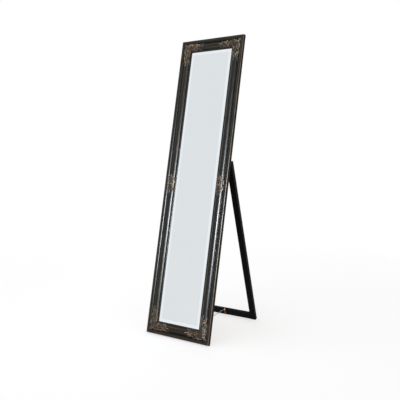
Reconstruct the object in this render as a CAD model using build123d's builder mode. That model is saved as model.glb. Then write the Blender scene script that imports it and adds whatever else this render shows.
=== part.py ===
"""Free-standing easel mirror: a moulded frame that leans back on a hinged stand.

Millimetres, +Z up, the glass facing -Y. The origin lies on the floor, at the middle of the
standing mirror's box. Every piece is built where it stands when the stand is open.
"""

import os
from math import cos, radians, sin

from build123d import *

os.makedirs("parts", exist_ok=True)

# How the mirror stands
frame_tilt = 12.5             # lean of the frame from the vertical, degrees
open_angle = 30.0             # between the frame's back and the open stand, degrees
pin_height = 950.0            # hinge pin above the frame's lower edge, along the frame

# Frame and its moulding, measured from the outer edge inwards and from the back forwards
frame_height = 1650.0
frame_width = 400.0
rail_face = 69.0              # outer edge to sight edge
outer_side = 18.0             # height of the flat outer side
outer_edge_radius = 6.0       # rounding between the outer side and the top of the outer bead
outer_bead_flat = 3.0         # width of the flat top of the outer bead
outer_bead_radius = 14.0      # of the outer bead's inward flank
outer_bead_end = 25.0         # angle at which the outer bead runs into the cove, degrees
cove_bottom = 14.5            # thickness of the moulding at the bottom of the cove
cove_end = 27.0               # where the cove ends and the inner bead begins
inner_bead_crest = 28.0       # thickness of the moulding at the crest of the inner bead
inner_bead_foot = 18.5        # thickness at both feet of the inner bead
sight_fillet = 9.0            # width of the flat fillet beside the glass
fillet_step = 1.5             # drop from the inner bead to the sight fillet
sight_round = 2.0             # rounding of the fillet at the sight edge
lip_back = 13.0               # height of the rebate's face, where the glass bears
rebate_width = 10.0

# Glass, backing board and what holds them in
glass_thickness = 4.0
bevel_width = 25.0
bevel_depth = 2.2
glass_clearance = 2.0         # between glass edge and rebate wall
seat_gap = 0.1                # between the bevel and the rebate lip
board_thickness = 3.0
board_clearance = 1.0
point_size = (12.0, 14.0, 0.6)   # glazing point along the rail, across it, thickness
point_bite = 6.0              # length of a glazing point inside the wood
stile_points = 6
rail_points = 2
nail_wing = 6.0               # corner nail: length of each wing
nail_sheet = 1.0
nail_depth = 10.0
nail_stations = (14.0, 34.0)  # distance of the corner nails from the outer edge

# Carved ornaments
relief = 3.0                  # height of the leaf work above the moulding
roll_rise = 0.8               # of the rolled leaf ends above the leaf work
corner_arm = 148.0            # from the outer corner to the tip of a leaf
corner_outer = 17.0           # from the outer edge to the leaf work
corner_inner = 4.0            # from the sight edge to the leaf work
leaf_lobes = 3                # along each edge of a leaf
leaf_swell = 4.0              # of each lobe
shell_radius = 12.0
large_roll = 8.0
small_roll = 6.0
roll_stations = (83.0, 110.0)   # of the rolled leaf ends, from the outer corner
middle_length = 108.0
middle_outer = 23.0

# Stand
stand_width = 398.0
leg_width = 35.0
stand_thickness = 20.0
leg_above_pin = 4.0
stand_rail_height = 40.0
crossbar_height = 37.0
stand_round = 2.0             # rounding of the long edges
dowel_radius = 4.0
dowel_length = 40.0
dowel_spacing = 18.0
dowel_gap = 0.05
dowel_end_gap = 1.0

# Hinges
hinge_length = 30.0           # along the pin
leaf_height = 28.0            # from the pin to the leaf's free edge
leaf_thickness = 1.2
pin_radius = 1.5
pin_head_radius = 2.3
pin_head = 1.0
knuckle_wall = 1.3
knuckle_gap = 0.3             # between a knuckle and what passes it
pin_clearance = 0.05          # running clearance of the pin
screw_radius = 1.6
screw_head_radius = 3.1
screw_head = 1.4
screw_length = 12.0
screw_point = 4.0
recess_width = 0.7            # of the cross in the screw's head
recess_length = 3.4
recess_depth = 0.8
screw_offset = 9.0            # from the middle of the leaf to a screw
screw_drop = 16.0             # from the pin to the screws

# Chain, its screw eye and its hook
hook_wire = 1.3               # radius of the hook's wire
hook_height = 12.0            # of the shank above the lower edge of the crossbar
hook_reach = 9.0              # of the hook's stem in front of the crossbar
hook_bend = 4.5
hook_ring_height = 43.0       # of the hook's ring above the lower edge of the crossbar
hook_ring_radius = 4.6        # to the middle of the wire
shank_depth = 12.0            # of hook and eye in the wood
eye_wire = 1.1
eye_height = 38.0             # above the frame's lower edge
eye_reach = 11.0              # of the ring's centre behind the frame
eye_ring_radius = 4.4
chain_wire = 0.7              # radius of the link's wire
link_width = 6.0
link_length = 12.2
link_play = 0.15              # between two links that hang in each other
chain_sag = 10.0


# Where things come to stand, worked out from the sizes
leg_lean = open_angle - frame_tilt
knuckle_radius = pin_radius + knuckle_wall
pin_offset = knuckle_radius + knuckle_gap
frame_sine, frame_cosine = sin(radians(frame_tilt)), cos(radians(frame_tilt))
leg_sine, leg_cosine = sin(radians(leg_lean)), cos(radians(leg_lean))
pin_y = pin_height * frame_sine + pin_offset * frame_cosine
pin_z = pin_height * frame_cosine - pin_offset * frame_sine
leg_below_pin = (pin_z + pin_offset * leg_sine) / leg_cosine
foot_y = pin_y + pin_offset * leg_cosine + leg_below_pin * leg_sine
rear_reach = foot_y + stand_thickness * leg_cosine
frame_depth = inner_bead_crest + relief + roll_rise
bead_end = rail_face - sight_fillet
crest_station = (cove_end + bead_end) / 2
front_reach = max(
    round_height * frame_cosine - station * frame_sine + radius
    for station, round_height, radius in (
        (outer_edge_radius, outer_side, outer_edge_radius),
        (crest_station, frame_depth - shell_radius, shell_radius),
    )
)
origin_y = (rear_reach - front_reach) / 2

# The back of the frame: X to the right, Y up along the frame, Z out of the glass
frame_back = Plane(
    origin=(0, -origin_y, 0), x_dir=(1, 0, 0), z_dir=(0, -frame_cosine, frame_sine)
)
# The front of the stand: X to the right, Y up along the legs, Z towards the frame
stand_front = Plane(
    origin=(0, foot_y - origin_y, 0), x_dir=(1, 0, 0), z_dir=(0, -leg_cosine, -leg_sine)
)


def on(plane, point, x_dir, z_dir):
    """A plane whose origin and directions are given in another plane's own axes."""
    origin, x_end, z_end = (plane.from_local_coords(Vector(*v)) for v in (point, x_dir, z_dir))
    return Plane(origin=origin, x_dir=x_end - plane.origin, z_dir=z_end - plane.origin)


def finish(part, label):
    """Name a finished piece and write it."""
    part.label = label
    export_step(part, f"parts/{label}.step")
    return part


# The four sides, going round from the bottom: X along the side, Y inwards, Z out of the glass
half_width = frame_width / 2
sides = {
    "bottom_rail": (on(frame_back, (-half_width, 0, 0), (1, 0, 0), (0, 0, 1)), frame_width),
    "right_stile": (on(frame_back, (half_width, 0, 0), (0, 1, 0), (0, 0, 1)), frame_height),
    "top_rail": (on(frame_back, (half_width, frame_height, 0), (-1, 0, 0), (0, 0, 1)), frame_width),
    "left_stile": (on(frame_back, (-half_width, frame_height, 0), (0, -1, 0), (0, 0, 1)), frame_height),
}
corners = {
    "bottom_left": ("bottom_rail", "left_stile"),
    "bottom_right": ("right_stile", "bottom_rail"),
    "top_right": ("top_rail", "right_stile"),
    "top_left": ("left_stile", "top_rail"),
}

# Stations across the moulding
rebate_wall = rail_face - rebate_width
fillet_top = inner_bead_foot - fillet_step
outer_bead_top = outer_side + outer_edge_radius
bead_centre = (outer_edge_radius + outer_bead_flat, outer_bead_top - outer_bead_radius)
cove_start = (
    bead_centre[0] + outer_bead_radius * cos(radians(outer_bead_end)),
    bead_centre[1] + outer_bead_radius * sin(radians(outer_bead_end)),
)


def moulding_section(rise=0.0, rebate=True):
    """Section of the moulding: X from the outer edge inwards, Y from the back forwards."""
    side_top = outer_side + rise
    bead_top = outer_bead_top + rise
    foot = inner_bead_foot + rise
    fillet = fillet_top + rise
    with BuildSketch() as section:
        with BuildLine():
            Line((0, 0), (0, side_top))
            CenterArc((outer_edge_radius, side_top), outer_edge_radius, 180, -90)
            Line((outer_edge_radius, bead_top), (bead_centre[0], bead_top))
            CenterArc(
                (bead_centre[0], bead_centre[1] + rise), outer_bead_radius, 90, outer_bead_end - 90
            )
            ThreePointArc(
                (cove_start[0], cove_start[1] + rise),
                ((cove_start[0] + cove_end) / 2, cove_bottom + rise),
                (cove_end, foot),
            )
            ThreePointArc((cove_end, foot), (crest_station, inner_bead_crest + rise), (bead_end, foot))
            Polyline((bead_end, foot), (bead_end, fillet), (rail_face - sight_round, fillet))
            ThreePointArc(
                (rail_face - sight_round, fillet),
                (
                    rail_face - sight_round + sight_round * sin(radians(45)),
                    fillet - sight_round + sight_round * cos(radians(45)),
                ),
                (rail_face, fillet - sight_round),
            )
            if rebate:
                Polyline(
                    (rail_face, fillet - sight_round), (rail_face, lip_back),
                    (rebate_wall, lip_back), (rebate_wall, 0), (0, 0),
                )
            else:
                Polyline((rail_face, fillet - sight_round), (rail_face, 0), (0, 0))
        make_face()
    return section.sketch


def section_plane(side):
    """Plane across a side: X inwards, Y out of the glass, Z along the side."""
    return on(side, (0, 0, 0), (0, 1, 0), (1, 0, 0))


# Glazing points: small steel plates with a driven nose, on the back of the board
glass_front = lip_back - seat_gap + bevel_depth * (1 - (rebate_width - glass_clearance) / bevel_width)
glass_back = glass_front - glass_thickness
board_back = glass_back - board_thickness
point_width, point_length, point_sheet = point_size

with BuildPart() as glazing_points:
    for side, length in sides.values():
        count = stile_points if length == frame_height else rail_points
        for step in range(count):
            middle = length * (step + 0.5) / count
            with BuildSketch(side.offset(board_back - point_sheet)):
                with BuildLine():
                    Polyline(
                        (middle - point_width / 2, rebate_wall),
                        (middle, rebate_wall - point_bite),
                        (middle + point_width / 2, rebate_wall),
                        (middle + point_width / 2, rebate_wall + point_length - point_bite),
                        (middle - point_width / 2, rebate_wall + point_length - point_bite),
                        close=True,
                    )
                make_face()
            extrude(amount=point_sheet)

# Corner nails: angled steel strips driven across the mitres from behind
with BuildPart() as corner_nails:
    for first, second in corners.values():
        for station in nail_stations:
            inner, outer = station - nail_sheet, station - nail_wing
            with BuildSketch(sides[first][0]):
                with BuildLine():
                    Polyline(
                        (station, station), (outer, station), (outer, inner), (inner, inner),
                        (inner, outer), (station, outer), close=True,
                    )
                make_face()
            extrude(amount=nail_depth)

# Wood screw, its head's top at the origin and its point down, without and with its recess
with BuildPart() as screw_blank:
    with BuildSketch(Plane.XZ):
        with BuildLine():
            Polyline(
                (0, 0), (screw_head_radius, 0), (screw_radius, -screw_head),
                (screw_radius, screw_point - screw_length), (0, -screw_length), close=True,
            )
        make_face()
    revolve(axis=Axis.Z)

with BuildPart() as wood_screw:
    add(screw_blank.part)
    with BuildSketch():
        Rectangle(recess_width, recess_length)
        Rectangle(recess_length, recess_width)
    extrude(amount=-recess_depth, mode=Mode.SUBTRACT)

# Seats of the two hinges: X up, Y out of the wood towards the pin, at the height of the pin
leg_middle = (stand_width - leg_width) / 2
hinge_sides = {"left": -1, "right": 1}


def frame_seat(hand):
    return on(frame_back, (hand * leg_middle, pin_height, 0), (0, 1, 0), (-1, 0, 0))


def stand_seat(hand):
    return on(stand_front, (hand * leg_middle, leg_below_pin, 0), (0, 1, 0), (1, 0, 0))


def hinge_screws(seat, screw):
    """Two screws through the leaf on a seat, their heads level with the leaf."""
    heads = [
        Location(on(seat, (-screw_drop, leaf_thickness, across), (0, 0, 1), (0, 1, 0)))
        for across in (-screw_offset, screw_offset)
    ]
    with BuildPart() as screws:
        with Locations(*heads):
            add(screw)
    return screws.part


def hinge_leaf(seat, outer_knuckles, bore):
    """One leaf: a plate on the wood, with its share of the three knuckles rolled round the pin."""
    knuckle = hinge_length / 3
    if outer_knuckles:
        spans = [(-hinge_length / 2, -(knuckle + knuckle_gap) / 2)]
        spans.append(((knuckle + knuckle_gap) / 2, hinge_length / 2))
    else:
        spans = [(-(knuckle - knuckle_gap) / 2, (knuckle - knuckle_gap) / 2)]
    with BuildPart() as leaf:
        with BuildSketch(seat):
            with Locations((-knuckle_radius - knuckle_gap, 0)):
                Rectangle(
                    leaf_height - knuckle_radius - knuckle_gap, leaf_thickness,
                    align=(Align.MAX, Align.MIN),
                )
        extrude(amount=hinge_length / 2, both=True)
        for start, end in spans:
            with BuildSketch(seat.offset(start)):
                Rectangle(leaf_height / 2, leaf_thickness, align=(Align.MAX, Align.MIN))
                with Locations((0, pin_offset)):
                    Circle(knuckle_radius)
            extrude(amount=end - start)
        with BuildSketch(seat.offset(-hinge_length)):
            with Locations((0, pin_offset)):
                Circle(bore)
        extrude(amount=2 * hinge_length, mode=Mode.SUBTRACT)
        add(hinge_screws(seat, screw_blank.part), mode=Mode.SUBTRACT)
    return leaf.part


for hand, sign in hinge_sides.items():
    finish(hinge_leaf(frame_seat(sign), True, pin_radius), f"{hand}_hinge_frame_leaf")
    finish(hinge_leaf(stand_seat(sign), False, pin_radius + pin_clearance), f"{hand}_hinge_stand_leaf")
    finish(hinge_screws(frame_seat(sign), wood_screw.part), f"{hand}_hinge_frame_screws")
    finish(hinge_screws(stand_seat(sign), wood_screw.part), f"{hand}_hinge_stand_screws")
    pin_middle = on(frame_back, (sign * leg_middle, pin_height, -pin_offset), (0, 1, 0), (sign, 0, 0))
    with BuildPart() as pin:
        with BuildSketch(pin_middle):
            Circle(pin_radius)
        extrude(amount=hinge_length / 2, both=True)
        with BuildSketch(pin_middle.offset(hinge_length / 2)):
            Circle(pin_head_radius)
        extrude(amount=pin_head)
    finish(pin.part, f"{hand}_hinge_pin")

# Screw eye in the back of the bottom rail, its ring upright and in line with the chain
with BuildPart() as frame_eye:
    with BuildSketch(on(frame_back, (0, eye_height, shank_depth), (1, 0, 0), (0, 0, -1))):
        Circle(eye_wire)
    extrude(amount=shank_depth + eye_reach - eye_ring_radius)
    with Locations(Location(on(frame_back, (0, eye_height, -eye_reach), (0, 1, 0), (1, 0, 0)))):
        Torus(eye_ring_radius, eye_wire)
finish(frame_eye.part, "frame_screw_eye")

# Brass hook on the crossbar: a bent shank that carries a closed ring above its bend
with BuildPart() as crossbar_hook:
    with BuildLine(on(stand_front, (0, 0, 0), (0, 1, 0), (1, 0, 0))) as hook_path:
        FilletPolyline(
            (hook_height, -shank_depth), (hook_height, hook_reach),
            (hook_ring_height - hook_ring_radius, hook_reach), radius=hook_bend,
        )
    with BuildSketch(Plane(origin=hook_path.line @ 0, z_dir=hook_path.line % 0)):
        Circle(hook_wire)
    sweep()
    ring_plane = on(stand_front, (0, hook_ring_height, hook_reach), (0, 1, 0), (1, 0, 0))
    with Locations(Location(ring_plane)):
        Torus(hook_ring_radius, hook_wire)
finish(crossbar_hook.part, "crossbar_hook")

# Chain: links turned a quarter against each other, hung in a shallow sag between the rings
eye_centre = frame_back.from_local_coords(Vector(0, eye_height, -eye_reach))
hook_centre = stand_front.from_local_coords(Vector(0, hook_ring_height, hook_reach))
chain_way = (hook_centre - eye_centre).normalized()
chain_start = eye_centre + chain_way * (eye_ring_radius - eye_wire - chain_wire - link_play)
chain_end = hook_centre - chain_way * (hook_ring_radius - hook_wire - chain_wire - link_play)
chain_span = (chain_end - chain_start).length
chain_length = chain_span + 8 / 3 * chain_sag**2 / chain_span
link_overlap = 2 * chain_wire + link_play
nominal_pitch = link_length - 2 * chain_wire - link_overlap
# An odd number of links lets both end links lie flat through their upright rings
link_count = 2 * round(((chain_length - link_overlap) / nominal_pitch - 1) / 2) + 1
link_pitch = (chain_length - link_overlap) / link_count
link_reach = (link_pitch + link_overlap) / 2


def chain_point(along):
    """Point of the hanging chain at a distance along it."""
    share = along / chain_length
    drop = 4 * chain_sag * share * (1 - share)
    return chain_start + (chain_end - chain_start) * share - Vector(0, 0, drop)


with BuildPart() as link:
    bend = link_width / 2 - chain_wire
    straight = link_reach - bend
    with BuildLine() as link_path:
        Line((-straight, -bend), (straight, -bend))
        JernArc((straight, -bend), (1, 0), bend, 180)
        Line((straight, bend), (-straight, bend))
        JernArc((-straight, bend), (-1, 0), bend, 180)
    with BuildSketch(Plane(origin=link_path.line @ 0, z_dir=link_path.line % 0)):
        Circle(chain_wire)
    sweep()

link_places = []
for number in range(link_count):
    first = chain_point(number * link_pitch)
    last = chain_point(number * link_pitch + 2 * link_reach)
    along = (last - first).normalized()
    across = Vector(1, 0, 0)
    upright = along.cross(across)
    facing = upright if number % 2 == 0 else across
    link_places.append(Location(Plane(origin=(first + last) / 2, x_dir=along, z_dir=facing)))

with BuildPart() as chain:
    with Locations(*link_places):
        add(link.part)
finish(chain.part, "chain")

# The four mitred lengths of the moulding
rails = {}
for name, (side, length) in sides.items():
    with BuildPart() as rail:
        with BuildSketch(section_plane(side)):
            add(moulding_section())
        extrude(amount=length)
        with BuildSketch(side):
            with BuildLine():
                Polyline(
                    (0, 0), (length, 0), (length - rail_face, rail_face), (rail_face, rail_face),
                    close=True,
                )
            make_face()
        extrude(amount=frame_depth, mode=Mode.INTERSECT)
        add(corner_nails.part, mode=Mode.SUBTRACT)
        add(glazing_points.part, mode=Mode.SUBTRACT)
        if name == "bottom_rail":
            add(frame_eye.part, mode=Mode.SUBTRACT)
        for hand, sign in hinge_sides.items():
            if name == f"{hand}_stile":
                add(hinge_screws(frame_seat(sign), screw_blank.part), mode=Mode.SUBTRACT)
    rails[name] = finish(rail.part, name)
finish(glazing_points.part, "glazing_points")
finish(corner_nails.part, "corner_nails")

# Mirror glass: a flat plate whose border slopes down to a thinner edge
glass_width = frame_width - 2 * (rebate_wall + glass_clearance)
glass_height = frame_height - 2 * (rebate_wall + glass_clearance)
glass_plane = on(frame_back, (0, frame_height / 2, glass_back), (1, 0, 0), (0, 0, 1))

with BuildPart() as mirror_glass:
    with BuildSketch(glass_plane):
        Rectangle(glass_width, glass_height)
    extrude(amount=glass_thickness - bevel_depth)
    with BuildSketch(glass_plane.offset(glass_thickness - bevel_depth)):
        Rectangle(glass_width, glass_height)
    with BuildSketch(glass_plane.offset(glass_thickness)):
        Rectangle(glass_width - 2 * bevel_width, glass_height - 2 * bevel_width)
    loft(ruled=True)
finish(mirror_glass.part, "mirror_glass")

# Backing board
with BuildPart() as backing_board:
    with BuildSketch(glass_plane.offset(-board_thickness)):
        Rectangle(
            frame_width - 2 * (rebate_wall + board_clearance),
            frame_height - 2 * (rebate_wall + board_clearance),
        )
    extrude(amount=board_thickness)
finish(backing_board.part, "backing_board")


def scallops(start, end, lobes, swell):
    """Arcs, each as three points, that swell to the right of the way from start to end."""
    start, end = Vector(*start), Vector(*end)
    step = (end - start) / lobes
    bulge = Vector(step.Y, -step.X).normalized() * swell
    first_points = [start + step * lobe for lobe in range(lobes)]
    return [(point, point + step / 2 + bulge, point + step) for point in first_points]


def leaf_work(name, reversed_way, start, reach, outline, rolls):
    """Raised leaf work on one side of the frame: a skin that follows the moulding.

    Outline and rolled leaf ends are given along the side, from either of its ends, and inwards.
    """
    side, length = sides[name]
    way = -1 if reversed_way else 1
    base = on(side, (length if reversed_way else 0, 0, 0), (way, 0, 0), (0, 0, way))
    with BuildPart() as work:
        with BuildSketch(on(base, (start, 0, 0), (0, 1, 0), (way, 0, 0))):
            add(moulding_section(relief, rebate=False))
        extrude(amount=way * reach)
        with BuildSketch(base.offset(way * lip_back)):
            with BuildLine():
                for points in outline:
                    if len(points) == 2:
                        Line(*points)
                    else:
                        ThreePointArc(*points)
            make_face()
        extrude(amount=way * frame_depth, mode=Mode.INTERSECT)
        for along, radius in rolls:
            height = frame_depth - radius
            with Locations(base.from_local_coords(Vector(along, crest_station, way * height))):
                Sphere(radius)
    return work.part


# Corner ornaments: two leaves that meet on the mitre, under a rolled shell
leaf_inner = rail_face - corner_inner
leaf_tip = (corner_arm, crest_station)
leaf_root = (leaf_inner + small_roll, leaf_inner)
corner_outline = (
    scallops((corner_outer, corner_outer), leaf_tip, leaf_lobes, leaf_swell)
    + scallops(leaf_tip, leaf_root, leaf_lobes, leaf_swell / 2)
    + [(leaf_root, (leaf_inner, leaf_inner)), ((leaf_inner, leaf_inner), (corner_outer, corner_outer))]
)
corner_rolls = [(roll_stations[0], large_roll), (roll_stations[1], small_roll)]

for corner, (first, second) in corners.items():
    with BuildPart() as ornament:
        add(leaf_work(first, False, 0, corner_arm, corner_outline, corner_rolls))
        add(leaf_work(second, True, 0, corner_arm, corner_outline, corner_rolls))
        shell_height = frame_depth - shell_radius
        shell = Vector(crest_station, crest_station, shell_height)
        with Locations(sides[first][0].from_local_coords(shell)):
            Sphere(shell_radius)
        add(rails[first], mode=Mode.SUBTRACT)
        add(rails[second], mode=Mode.SUBTRACT)
    finish(ornament.part, f"corner_ornament_{corner}")

# Middle ornaments: one leaf each way from the middle of a stile
middle_start = (frame_height - middle_length) / 2
middle_end = (frame_height + middle_length) / 2
middle_shoulders = (frame_height / 2 - middle_length / 6, frame_height / 2 + middle_length / 6)
middle_points = [
    (middle_start, crest_station), (middle_shoulders[0], middle_outer),
    (middle_shoulders[1], middle_outer), (middle_end, crest_station),
    (middle_shoulders[1], leaf_inner), (middle_shoulders[0], leaf_inner),
    (middle_start, crest_station),
]
middle_outline = []
for point, next_point in zip(middle_points, middle_points[1:]):
    middle_outline += scallops(point, next_point, 1, leaf_swell / 2)
middle_rolls = [
    (frame_height / 2 - middle_length / 4, small_roll), (frame_height / 2, large_roll),
    (frame_height / 2 + middle_length / 4, small_roll),
]

for hand in hinge_sides:
    stile = f"{hand}_stile"
    with BuildPart() as ornament:
        add(leaf_work(stile, False, middle_start, middle_length, middle_outline, middle_rolls))
        add(rails[stile], mode=Mode.SUBTRACT)
    finish(ornament.part, f"middle_ornament_{hand}")

# Dowels of the stand, and the slightly larger holes that they sit in
leg_length = leg_below_pin + leg_above_pin
leg_inner = stand_width / 2 - leg_width
joint_heights = (crossbar_height / 2, leg_length - stand_rail_height / 2)


def dowels(radius, length):
    """Eight round pegs across the joints between legs and cross pieces."""
    with BuildPart() as pegs:
        for sign in hinge_sides.values():
            for height in joint_heights:
                middle = (sign * leg_inner, height, -stand_thickness / 2)
                with BuildSketch(on(stand_front, middle, (0, 1, 0), (1, 0, 0))):
                    with GridLocations(dowel_spacing, 0, 2, 1):
                        Circle(radius)
                extrude(amount=length / 2, both=True)
    return pegs.part


dowel_holes = dowels(dowel_radius + dowel_gap, dowel_length + 2 * dowel_end_gap)
finish(dowels(dowel_radius, dowel_length), "stand_dowels")


def stand_bar(low, high):
    """A straight bar of the stand between two corners of its front, its long edges rounded."""
    width, height = high[0] - low[0], high[1] - low[1]
    middle = ((low[0] + high[0]) / 2, (low[1] + high[1]) / 2, 0)
    long_way = stand_front.x_dir if width > height else stand_front.y_dir
    with BuildPart() as bar:
        with BuildSketch(on(stand_front, middle, (1, 0, 0), (0, 0, 1))):
            Rectangle(width, height)
        extrude(amount=-stand_thickness)
        fillet(bar.edges().filter_by(Axis((0, 0, 0), long_way)), stand_round)
        add(dowel_holes, mode=Mode.SUBTRACT)
    return bar.part


for hand, sign in hinge_sides.items():
    inner, outer = sorted((sign * leg_inner, sign * stand_width / 2))
    with BuildPart() as leg:
        add(stand_bar((inner, 0), (outer, leg_length)))
        add(hinge_screws(stand_seat(sign), screw_blank.part), mode=Mode.SUBTRACT)
    finish(leg.part, f"{hand}_leg")

with BuildPart() as crossbar:
    add(stand_bar((-leg_inner, 0), (leg_inner, crossbar_height)))
    add(crossbar_hook.part, mode=Mode.SUBTRACT)
finish(crossbar.part, "crossbar")
finish(stand_bar((-leg_inner, leg_length - stand_rail_height), (leg_inner, leg_length)), "stand_top_rail")
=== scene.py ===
from math import cos, pi, radians, sin

import bmesh
import bpy
import numpy as np
from mathutils import Matrix, Vector


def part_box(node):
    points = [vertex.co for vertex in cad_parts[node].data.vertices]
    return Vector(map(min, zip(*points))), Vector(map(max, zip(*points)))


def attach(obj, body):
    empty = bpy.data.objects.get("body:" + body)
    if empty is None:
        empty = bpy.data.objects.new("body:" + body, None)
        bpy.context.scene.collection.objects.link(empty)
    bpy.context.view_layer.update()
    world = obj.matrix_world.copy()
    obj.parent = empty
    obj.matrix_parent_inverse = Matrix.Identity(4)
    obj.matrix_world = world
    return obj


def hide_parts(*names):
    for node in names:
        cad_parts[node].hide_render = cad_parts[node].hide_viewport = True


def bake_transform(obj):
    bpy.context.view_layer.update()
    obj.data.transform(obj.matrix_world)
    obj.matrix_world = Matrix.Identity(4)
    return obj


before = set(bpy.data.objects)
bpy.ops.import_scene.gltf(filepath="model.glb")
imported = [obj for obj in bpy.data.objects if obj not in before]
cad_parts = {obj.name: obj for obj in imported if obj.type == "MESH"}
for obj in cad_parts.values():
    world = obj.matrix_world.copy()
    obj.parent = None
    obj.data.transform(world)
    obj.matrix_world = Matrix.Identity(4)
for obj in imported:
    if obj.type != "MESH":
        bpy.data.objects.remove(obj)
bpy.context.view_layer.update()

# The room: a plain pale floor that runs out into a white studio, seen from waist height at the
# mirror's right. One small window of light at the right draws the long highlights on the
# moulding, and broad dim panels fill the rest.
MM = 0.001
scene = bpy.context.scene
scene.view_settings.view_transform = "Standard"


def srgb(code):
    """Linear colour of an sRGB hex value."""
    parts = [int(code[place:place + 2], 16) / 255 for place in (1, 3, 5)]
    return tuple(p / 12.92 if p <= 0.04045 else ((p + 0.055) / 1.055) ** 2.4 for p in parts) + (1.0,)


def set_inputs(tree, node, values):
    """Give a node's inputs plain values, or link other nodes' outputs to them."""
    for name, value in values.items():
        if isinstance(value, bpy.types.NodeSocket):
            tree.links.new(value, node.inputs[name])
        else:
            node.inputs[name].default_value = value


def add_node(tree, kind, settings=None, inputs=None):
    """Add one node with its own settings, and with values or other nodes' outputs as its inputs."""
    made = tree.nodes.new(kind)
    for name, value in (settings or {}).items():
        setattr(made, name, value)
    set_inputs(tree, made, inputs or {})
    return made


def put_in_scene(name, data):
    """An object with this data, linked to the scene, at the origin."""
    piece = bpy.data.objects.new(name, data)
    scene.collection.objects.link(piece)
    return piece


camera_data = bpy.data.cameras.new("camera")
camera_data.lens = 48.14
camera_data.sensor_width = 36.0
camera = put_in_scene("camera", camera_data)
camera.location = (1.6097, -2.4974, 0.9878)
camera.rotation_euler = (radians(90 - 5.18), 0, radians(33.22))
scene.camera = camera

# White where the camera or the mirror sees it, and dimmer as a light on the mirror
unseen_strength = 0.72
world = bpy.data.worlds.new("studio")
scene.world = world
world.use_nodes = True
tree = world.node_tree
tree.nodes.clear()
rays = add_node(tree, "ShaderNodeLightPath")
mirrored = add_node(tree, "ShaderNodeMath", {"operation": "MAXIMUM"},
                    {0: rays.outputs["Is Glossy Ray"], 1: rays.outputs["Is Transmission Ray"]})
seen = add_node(tree, "ShaderNodeMath", {"operation": "MAXIMUM"},
                {0: rays.outputs["Is Camera Ray"], 1: mirrored.outputs[0]})
strength = add_node(tree, "ShaderNodeMapRange", {},
                    {"Value": seen.outputs[0], "To Min": unseen_strength, "To Max": 1.0})
studio = add_node(tree, "ShaderNodeBackground", {},
                  {"Color": srgb("#ffffff"), "Strength": strength.outputs["Result"]})
add_node(tree, "ShaderNodeOutputWorld", {}, {"Surface": studio.outputs[0]})

# Near the mirror the floor is partly a matt sheet and keeps a faint shadow. Further out it glows
# as white as the studio behind it, so that no horizon shows.
floor_half, shadow_reach, fade_end, glow_share = 20.0, 0.9, 3.2, 0.6
floor_mesh = bpy.data.meshes.new("studio_floor")
floor_corners = [(x * floor_half, y * floor_half, 0) for x, y in ((-1, -1), (1, -1), (1, 1), (-1, 1))]
floor_mesh.from_pydata(floor_corners, [], [(0, 1, 2, 3)])
floor = put_in_scene("studio_floor", floor_mesh)
matt_sheet = bpy.data.materials.new("matt_white_sheet")
matt_sheet.use_nodes = True
tree = matt_sheet.node_tree
tree.nodes.clear()
spot = add_node(tree, "ShaderNodeTexCoord")
distance = add_node(tree, "ShaderNodeVectorMath", {"operation": "LENGTH"}, {0: spot.outputs["Object"]})
fade = add_node(tree, "ShaderNodeMapRange", {"interpolation_type": "SMOOTHSTEP"},
                {"Value": distance.outputs["Value"], "From Min": shadow_reach, "From Max": fade_end,
                 "To Min": glow_share})
sheet = add_node(tree, "ShaderNodeBsdfDiffuse", {}, {"Color": srgb("#f7f7f7")})
glow = add_node(tree, "ShaderNodeEmission", {}, {"Color": srgb("#ffffff"), "Strength": 1.0})
both = add_node(tree, "ShaderNodeMixShader", {},
                {0: fade.outputs["Result"], 1: sheet.outputs[0], 2: glow.outputs[0]})
add_node(tree, "ShaderNodeOutputMaterial", {}, {"Surface": both.outputs[0]})
floor_mesh.materials.append(matt_sheet)

# The window only glints on the lacquer, and the panels only fill
mirror_middle = Vector((0, 0, 0.75))
for light_name, spot, width, height, power, colour, glints in (
    ("window_light", (2.57, -1.65, 1.14), 0.9, 0.7, 420.0, (0.86, 0.93, 1.0), True),
    ("overhead_panel", (-0.4, -0.6, 3.4), 2.6, 2.6, 45.0, (1.0, 1.0, 1.0), False),
    ("rear_panel", (-2.2, 2.4, 1.8), 1.6, 1.6, 14.0, (1.0, 1.0, 1.0), False),
):
    light_data = bpy.data.lights.new(light_name, "AREA")
    light_data.shape, light_data.color = "RECTANGLE", colour
    light_data.size, light_data.size_y, light_data.energy = width, height, power
    light = put_in_scene(light_name, light_data)
    light.location = spot
    light.rotation_euler = (mirror_middle - light.location).to_track_quat("-Z", "Y").to_euler()
    light.visible_diffuse, light.visible_glossy = not glints, glints


# Mouldings: four lengths of milled softwood, mitred and glued at the corners. The front is a
# flat-topped outer bead, a narrow cove, a broad inner bead and a fillet beside the glass, sprayed
# olive black, then rubbed with bronze wax on whatever stands proud. The back is bare wood.
frame_tilt = radians(12.5)
frame_height, frame_width = 1650.0, 400.0
rail_face, rebate_width, lip_back = 69.0, 10.0, 13.0
outer_side, outer_edge_radius, outer_bead_flat = 18.0, 6.0, 3.0
outer_bead_radius, outer_bead_end = 14.0, 25.0
cove_bottom, cove_end = 14.5, 27.0
inner_bead_crest, inner_bead_foot = 28.0, 18.5
sight_fillet, fillet_step, sight_round = 9.0, 1.5, 2.0
quirk_width, quirk_depth = 1.4, 0.7
back_chamfer, wax_overlap = 1.0, 1.5
along_step = 12.0
rebate_wall = rail_face - rebate_width
bead_end = rail_face - sight_fillet
crest_station = (cove_end + bead_end) / 2
fillet_top = inner_bead_foot - fillet_step
half_width = frame_width / 2

# The frame's own axes: X to the right, Y up along the frame, Z out of the glass
back_edge_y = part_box("bottom_rail")[1].y - rebate_wall * MM * sin(frame_tilt)
frame_place = Matrix.Translation((0, back_edge_y, 0)) @ Matrix.Rotation(pi / 2 - frame_tilt, 4, "X")


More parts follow.
